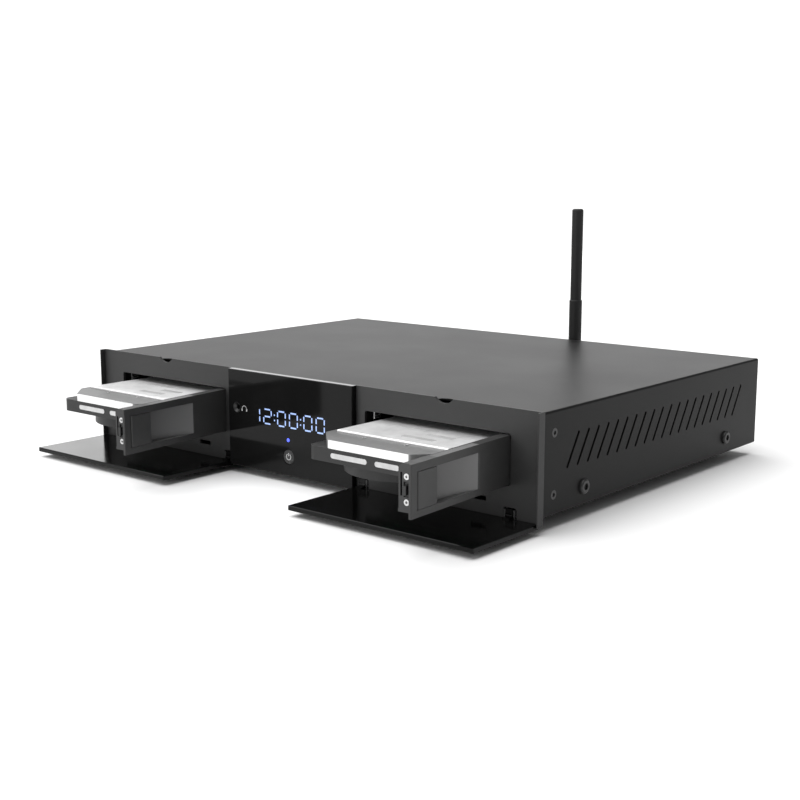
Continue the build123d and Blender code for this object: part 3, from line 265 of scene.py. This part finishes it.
# each bare metal: how bright it is, the range of its roughness, and the width and run of its brushed lines
metalLooks = {
    "brightSteel": {"shade": 0.62, "gloss": (0.22, 0.36), "line": 0.0008, "stretch": (1, 0.1, 1),
                    "depth": 0.000004},
    "sinkMetal": {"shade": 0.5, "gloss": (0.3, 0.45), "line": 0.0006, "stretch": (1, 0.05, 1),
                  "depth": 0.000008},
    "socketMetal": {"shade": 0.6, "gloss": (0.25, 0.35), "line": 0.0005, "stretch": (1, 0.2, 1),
                    "depth": 0.000003},
}


def driveMetalWithPaintedLight(name, look, front, rimTop):
    # pressed cover of a drive, with painted light: a painted highlight where it stands highest and on its
    # front, and painted shade on the step between
    made = Finish(name)
    lines = made.noise(look["line"], 2.0, 0.6, look["stretch"])
    blotches = made.noise(look["blotch"], 4.0, 0.6)
    # painted light: this mask is 1 on the top above the rim and on the front face, which are painted bright;
    # the rim step gets the painted shade tone
    high = made.axis(2) > rimTop + look["topMargin"]
    paintedFrontLight = made.axis(1) < front + look["frontMargin"]
    paintedLightMask = made.levels(high + paintedFrontLight, 0, 1, 0, 1)
    tone = made.mix(paintedLightMask, grey(look["step"]), grey(look["top"]))
    # random blotches of wear, darkened towards the same grey as the painted shade on the step
    wear = made.levels(blotches, 0, look["wear"], look["wearFrom"], look["wearTo"])
    worn = made.mix(wear, tone, grey(look["step"]))
    return made.done(Base_Color=worn, Metallic=look["metal"], Normal=made.bump(lines, look["depth"]),
                     Roughness=made.levels(lines, look["gloss"][0], look["gloss"][1]))


def doorPlasticWithPaintedSheen(name, look, pivot, angle):
    # the finger hollow gets a painted sheen, painted paler towards the hinge where light reflects off it;
    # along runs from the hinge pin and out from the door's middle
    made = Finish(name)
    x, y = made.axis(0) - pivot[0], made.axis(1) - pivot[1]
    turn = math.radians(angle)
    along = x * -math.cos(turn) - y * math.sin(turn)
    out = x * math.sin(turn) - y * math.cos(turn)
    # painted sheen: the finger hollow is painted paler, most at the hinge end
    paintedSheenHollow = (out < look["skin"]) * (along > look["from"]) * (along < look["to"]) * (out > look["floor"])
    fade = made.levels(along, 1.0, look["fade"], look["from"], look["to"])
    grain = made.noise(look["grain"], 2.0)
    clouds = made.noise(look["clouds"], 3.0)
    plain = made.mix(made.levels(clouds, 0, 1), grey(look["shade"] * coatClouds["dark"]),
                     grey(look["shade"] * coatClouds["pale"]))
    tone = made.mix(paintedSheenHollow * fade, plain, grey(look["pale"]))
    return made.done(Base_Color=tone, Roughness=made.levels(clouds, look["gloss"][0], look["gloss"][1]),
                     Specular_IOR_Level=look["shine"], Normal=made.bump(grain, look["depth"]))


finishes = {name: powderCoat(name, look) for name, look in coatLooks.items()}
finishes.update({name: brushedMetal(name, look) for name, look in metalLooks.items()})


def glowing(name, look):
    made = Finish(name)
    patches = made.noise(look["patches"], 2.0)
    dim = [part * look["dim"] for part in look["tint"]]
    tone = made.mix(made.levels(patches, 0, 1), (*dim, 1), (*look["tint"], 1))
    return made.done(Base_Color=tone, Emission_Color=tone, Emission_Strength=look["strength"],
                     Roughness=look["rough"])


def circuitLacquer(name, look):
    # green lacquer over copper tracks
    made = Finish(name)
    tracks = made.add("TexBrick", None, {"Vector": made.place((look["tracks"],) * 3), "Scale": 1.0,
                                         "Mortar Size": look["trackWidth"], "Color1": grey(0.0),
                                         "Color2": grey(0.3), "Mortar": grey(1.0)})
    clouds = made.noise(look["clouds"])
    return made.done(Base_Color=made.mix(tracks, look["dark"], look["pale"]),
                     Roughness=made.levels(clouds, look["gloss"][0], look["gloss"][1]),
                     Normal=made.bump(tracks, look["depth"]))


def yellowMetal(name, look):
    made = Finish(name)
    lines = made.noise(look["line"], 2.0)
    return made.done(Base_Color=made.mix(made.levels(lines, 0, 1), look["dark"], look["pale"]), Metallic=1.0,
                     Roughness=made.levels(lines, look["gloss"][0], look["gloss"][1]))


glowLooks = {
    "litBars": {"tint": (0.42, 0.58, 1.0), "strength": 0.2, "dim": 0.85, "patches": 0.002, "rough": 0.3},
    "blueLight": {"tint": (0.08, 0.12, 1.0), "strength": 1.6, "dim": 0.85, "patches": 0.002, "rough": 0.3},
}
boardLook = {"tracks": 400, "trackWidth": 0.06, "clouds": 0.01, "gloss": (0.25, 0.4), "depth": 0.00003,
             "dark": (0.006, 0.05, 0.022, 1), "pale": (0.015, 0.11, 0.05, 1)}
brassLook = {"line": 0.0006, "gloss": (0.2, 0.35), "dark": (0.62, 0.44, 0.16, 1),
             "pale": (0.8, 0.6, 0.28, 1)}
finishes.update({name: glowing(name, look) for name, look in glowLooks.items()})
finishes["circuitBoard"] = circuitLacquer("circuitBoard", boardLook)
finishes["brightBrass"] = yellowMetal("brightBrass", brassLook)

# the drive cover's rim lies plateau below its top; a swing door's angle is in degrees from closed
# painted light on the drive covers: top is the painted highlight tone of the plateau and front, and the step
# tone is the painted shade of the rim, also used for wear
driveTop = {"plateau": 0.0014, "topMargin": 0.0002, "frontMargin": 0.0004, "line": 0.0008,
            "stretch": (1, 0.12, 1), "blotch": 0.02, "step": 0.26, "top": 0.92, "metal": 0.8,
            "wear": 0.2, "wearFrom": 0.4, "wearTo": 0.7, "depth": 0.000003, "gloss": (0.42, 0.55)}
# painted sheen on the swing doors: pale is the painted highlight tone in the finger hollow, fading off away
# from the hinge
doorTone = {"angles": {"left": 95.5, "right": 93.0}, "shade": 0.03, "pale": 0.16, "skin": 0.0055,
            "floor": 0.0, "from": 0.041, "to": 0.0846, "fade": 0.35, "grain": 0.0005, "clouds": 0.03,
            "gloss": (0.4, 0.5), "shine": 0.4, "depth": 0.00002}
for side, angle in doorTone["angles"].items():
    coverLow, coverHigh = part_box(side + "_drive_cover")
    rimTop = coverHigh.z - driveTop["plateau"]
    finishes[side + "DriveMetal"] = driveMetalWithPaintedLight(side + "DriveMetal", driveTop, coverLow.y, rimTop)
    pinLow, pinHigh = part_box(side + "_swing_pin")
    pin = ((pinLow.x + pinHigh.x) / 2, (pinLow.y + pinHigh.y) / 2)
    finishes[side + "DoorPlastic"] = doorPlasticWithPaintedSheen(side + "DoorPlastic", doorTone, pin, angle)

nodeFinishes = {
    "front_panel": "panelCoat", "display_window": "windowGloss", "display_segments": "litBars",
    "display_module": "moduleBlack", "control_board": "circuitBoard", "power_button": "buttonGloss",
    "status_light": "blueLight", "headphone_jack": "blackPlastic", "base_pan": "caseCoat",
    "top_cover": "caseCoat", "rear_panel": "caseCoat", "main_board": "circuitBoard",
    "processor_heatsink": "sinkMetal", "power_supply_board": "circuitBoard",
    "power_supply_parts": "moduleBlack", "mains_inlet": "blackPlastic",
    "rear_sockets": "socketMetal", "audio_sockets": "blackPlastic", "aerial_socket": "brightBrass",
    "aerial_foot": "softRubber", "aerial_rod": "softRubber", "aerial_pin": "brightSteel",
    "feet": "softRubber", "cover_screws": "blackSteel", "panel_screws": "blackSteel",
    "flap_door": "flapGloss", "flap_hinge_brackets": "blackSteel", "flap_hinge_pins": "brightSteel",
    "rack_cage": "rackCoat", "rack_bridge": "brightSteel", "rack_rings": "softRubber",
    "rack_backplane": "circuitBoard", "catch_spring": "brightSteel",
    "swing_pin": "brightSteel", "latch_lever": "leverPlastic", "lever_pin": "brightSteel",
    "latch_tongue": "blackPlastic", "end_screws": "brightSteel", "drive_base": "castMetal",
    "drive_board": "circuitBoard",
}
# these are made once for each side
sideFinishes = {"swing_door": "DoorPlastic", "drive_cover": "DriveMetal"}
for name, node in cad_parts.items():
    kind = name.removeprefix("left_").removeprefix("right_")
    if kind in sideFinishes:
        finish = name.split("_")[0] + sideFinishes[kind]
    else:
        finish = nodeFinishes[kind]
    node.data.materials.clear()
    node.data.materials.append(finishes[finish])
    node.data.shade_smooth()
    node.data.set_sharp_from_angle(angle=math.radians(30))
print("finishes:", len(finishes))

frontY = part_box("display_window")[0].y
faceRight, faceLeft, faceUp, faceBack = (1, 0, 0), (-1, 0, 0), (0, 0, 1), (0, 1, 0)

# headphones drawn on the window beside the jack
sign = {"x": -0.045, "z": 0.0498, "band": 0.0024, "bandDrop": 0.0006, "line": 0.00042,
        "pad": (0.0011, 0.0021), "padDrop": 0.0012, "padCorner": 0.0004, "thick": 0.00006}
shape = bmesh.new()
bandPlace = placing((sign["x"], frontY, sign["z"] - sign["bandDrop"]), faceRight, faceUp)
addArc(shape, bandPlace, sign["band"], sign["line"], sign["thick"], 0, 180)
for side in (-1, 1):
    padAt = (sign["x"] + side * sign["band"], frontY, sign["z"] - sign["padDrop"])
    addPlate(shape, placing(padAt, faceRight, faceUp), sign["pad"], sign["thick"], sign["padCorner"])
finishPiece("headphoneSign", shape, finishes["whiteMark"], "root", False)

# open ring and bar on the power button
mark = {"ring": 0.00215, "line": 0.0005, "gap": 32, "bar": (0.0005, 0.0024), "barRise": 0.0016,
        "thick": 0.00006}
buttonLow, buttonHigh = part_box("power_button")
buttonMiddle = ((buttonLow.x + buttonHigh.x) / 2, buttonLow.y, (buttonLow.z + buttonHigh.z) / 2)
shape = bmesh.new()
addArc(shape, placing(buttonMiddle, faceRight, faceUp), mark["ring"], mark["line"], mark["thick"],
       90 + mark["gap"], 450 - mark["gap"], 40)
barAt = (buttonMiddle[0], buttonMiddle[1], buttonMiddle[2] + mark["barRise"])
addPlate(shape, placing(barAt, faceRight, faceUp), mark["bar"], mark["thick"])
finishPiece("powerMark", shape, finishes["whiteMark"], "power_button", False)

# each drive: two blank rounded labels on its front, faint lines on its cover and screws in its rim
driveLook = {
    "labels": ((-0.0152, 0.0304), (0.0164, 0.0196)), "labelHeight": 0.0034, "labelDrop": 0.0112,
    "labelThick": 0.00005, "labelCorner": 0.49,
    "lines": ((0.012, 0.036, 0.026), (0.02, 0.048, 0.022), (-0.006, 0.06, 0.03), (0.024, 0.07, 0.03),
              (-0.012, 0.084, 0.04), (0.02, 0.096, 0.034)),
    "lineHeight": 0.0052, "lineThick": 0.00004, "lineCorner": 0.0008,
    "screws": ((-0.0189, 0.019), (0.015, 0.02), (-0.0478, 0.052), (0.0478, 0.052), (-0.0478, 0.118),
               (0.0478, 0.118), (0.0, 0.139)),
    "screwRadius": 0.0016, "screwHeight": 0.00035, "screwSocket": 0.0006,
}
for side in ("left", "right"):
    low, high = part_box(side + "_drive_cover")
    middleX = (low.x + high.x) / 2
    shape = bmesh.new()
    for across, length in driveLook["labels"]:
        labelPlace = placing((middleX + across, low.y, high.z - driveLook["labelDrop"]), faceRight, faceUp)
        addPlate(shape, labelPlace, (length, driveLook["labelHeight"]), driveLook["labelThick"],
                 driveLook["labelHeight"] * driveLook["labelCorner"], 8)
    finishPiece(side + "DriveLabels", shape, finishes["paleLabel"], side + "_drive", False)
    shape = bmesh.new()
    for across, back, length in driveLook["lines"]:
        linePlace = placing((middleX + across, low.y + back, high.z), faceRight, faceBack)
        addPlate(shape, linePlace, (length, driveLook["lineHeight"]), driveLook["lineThick"],
                 driveLook["lineCorner"])
    finishPiece(side + "DriveLines", shape, finishes["greyMark"], side + "_drive", False)
    shape = bmesh.new()
    for across, back in driveLook["screws"]:
        screwAt = (middleX + across, low.y + back, high.z - driveTop["plateau"])
        addDisc(shape, placing(screwAt, faceRight, faceBack), driveLook["screwRadius"],
                driveLook["screwHeight"], 24, driveLook["screwSocket"])
    finishPiece(side + "DriveScrews", shape, finishes["brightSteel"], side + "_drive")
print("marks on the front and the drives made")

# screws round the edge of the rear panel
rearScrews = {"radius": 0.0028, "height": 0.0009, "inner": 0.0009, "margin": 0.006, "lowShare": 0.8,
              "across": (-0.98, -0.5, 0.0, 0.5, 0.98)}
rearLow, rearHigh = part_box("rear_panel")
rearMiddle = (rearLow.x + rearHigh.x) / 2
rearHalf = (rearHigh.x - rearLow.x) / 2 - rearScrews["margin"]
shape = bmesh.new()
for across in rearScrews["across"]:
    for z in (rearLow.z + rearScrews["margin"] * rearScrews["lowShare"], rearHigh.z - rearScrews["margin"]):
        screwPlace = placing((rearMiddle + across * rearHalf, rearHigh.y, z), faceLeft, faceUp)
        addDisc(shape, screwPlace, rearScrews["radius"], rearScrews["height"], 24, rearScrews["inner"])
finishPiece("rearScrews", shape, finishes["blackSteel"], "root")

# chips on the main board, each with a row of small parts beside it
boardParts = {
    "chips": ((-0.06, 0.02, 0.016, 0.016), (0.04, 0.025, 0.012, 0.012), (0.065, -0.02, 0.014, 0.01),
              (-0.07, -0.025, 0.01, 0.014), (0.02, -0.035, 0.01, 0.01), (-0.02, 0.036, 0.008, 0.006)),
    "chipHeight": 0.0016, "chipCorner": 0.0004, "small": (0.0032, 0.0016), "smallHeight": 0.0011,
    "rows": 5, "pitch": 0.0062,
}
boardLow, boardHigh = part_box("main_board")
boardMiddle = (boardLow + boardHigh) / 2
shape = bmesh.new()
for x, y, width, depth in boardParts["chips"]:
    chipPlace = placing((boardMiddle.x + x, boardMiddle.y + y, boardHigh.z), faceRight, faceBack)
    addPlate(shape, chipPlace, (width, depth), boardParts["chipHeight"], boardParts["chipCorner"], 3)
finishPiece("mainBoardChips", shape, finishes["moduleBlack"], "root", False)
shape = bmesh.new()
for x, y, width, depth in boardParts["chips"]:
    for row in range(boardParts["rows"]):
        smallY = boardMiddle.y + y - depth + row * boardParts["pitch"]
        smallPlace = placing((boardMiddle.x + x + width, smallY, boardHigh.z), faceRight, faceBack)
        addPlate(shape, smallPlace, boardParts["small"], boardParts["smallHeight"])
finishPiece("mainBoardSmallParts", shape, finishes["socketMetal"], "root", False)
print("rear screws and board parts made")

panelMiddle = Vector((0, frontY, 0))
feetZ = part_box("feet")[0].z
studio = {"floorSize": 12.0, "floorShade": 0.92, "floorPale": 1.02, "floorClouds": 0.4,
          "floorRough": 0.9, "floorShine": 0.1, "skyForCamera": 1.2, "skyLight": 0.26,
          "sunPower": 3.4, "sunSpread": 75, "sunFrom": (-0.25, -0.15, 1.0)}

floor = bpy.data.objects.new("floor", bpy.data.meshes.new("floor"))
floorShape = bmesh.new()
bmesh.ops.create_grid(floorShape, x_segments=1, y_segments=1, size=studio["floorSize"])
bmesh.ops.translate(floorShape, vec=(0, 0, feetZ), verts=floorShape.verts)
floorShape.to_mesh(floor.data)
floorShape.free()
bpy.context.scene.collection.objects.link(floor)
floorFinish = Finish("palePaper")
floorClouds = floorFinish.levels(floorFinish.noise(studio["floorClouds"]), 0, 1)
floorTone = floorFinish.mix(floorClouds, grey(studio["floorShade"]),
                            grey(studio["floorShade"] * studio["floorPale"]))
floor.data.materials.append(floorFinish.done(Base_Color=floorTone, Roughness=studio["floorRough"],
                                             Specular_IOR_Level=studio["floorShine"]))

world = bpy.data.worlds.new("studio")
bpy.context.scene.world = world
world.use_nodes = True
sky = world.node_tree.nodes
sky.clear()
skyOut = sky.new("ShaderNodeOutputWorld")
seen = sky.new("ShaderNodeBackground")
lighting = sky.new("ShaderNodeBackground")
path = sky.new("ShaderNodeLightPath")
blend = sky.new("ShaderNodeMixShader")
seen.inputs["Strength"].default_value = studio["skyForCamera"]
lighting.inputs["Strength"].default_value = studio["skyLight"]
for background in (seen, lighting):
    background.inputs["Color"].default_value = (1, 1, 1, 1)
world.node_tree.links.new(path.outputs["Is Camera Ray"], blend.inputs[0])
world.node_tree.links.new(lighting.outputs[0], blend.inputs[1])
world.node_tree.links.new(seen.outputs[0], blend.inputs[2])
world.node_tree.links.new(blend.outputs[0], skyOut.inputs["Surface"])


def softBox(name, at, aim, size, power):
    lamp = bpy.data.lights.new(name, "AREA")
    lamp.shape = "RECTANGLE"
    lamp.size, lamp.size_y = size
    lamp.energy = power
    lampObject = bpy.data.objects.new(name, lamp)
    lampObject.location = at
    lampObject.rotation_euler = (Vector(aim) - Vector(at)).to_track_quat("-Z", "Y").to_euler()
    bpy.context.scene.collection.objects.link(lampObject)


softBox("frontLeft", (-0.9, -1.6, 0.9), (-0.05, frontY, 0.03), (1.2, 0.8), 5.5)
softBox("front", (-0.25, -1.7, 0.3), (0.15, frontY, 0.03), (0.8, 0.5), 4.5)
softBox("backLeft", (-1.5, 1.9, 0.75), (0, 0, 0.07), (2.2, 0.7), 9)

# broad even light from above, which also keeps the floor white as far as it goes
sun = bpy.data.lights.new("overhead", "SUN")
sun.energy = studio["sunPower"]
sun.angle = math.radians(studio["sunSpread"])
sunObject = bpy.data.objects.new("overhead", sun)
sunObject.rotation_euler = Vector(studio["sunFrom"]).to_track_quat("Z", "Y").to_euler()
bpy.context.scene.collection.objects.link(sunObject)

shot = {"right": 0.6497, "front": 0.6465, "up": 0.2262, "down": 10.24, "turn": 40.13, "lens": 58.64,
        "sensor": 36, "nearest": 0.05}
camera = bpy.data.objects.new("camera", bpy.data.cameras.new("camera"))
camera.data.lens = shot["lens"]
camera.data.sensor_width = shot["sensor"]
camera.data.clip_start = shot["nearest"]
camera.location = panelMiddle + Vector((shot["right"], -shot["front"], shot["up"]))
camera.rotation_euler = (math.radians(90 - shot["down"]), 0, math.radians(shot["turn"]))
bpy.context.scene.collection.objects.link(camera)
bpy.context.scene.camera = camera
bpy.context.scene.view_settings.view_transform = "Standard"
print("stage, light and camera set")
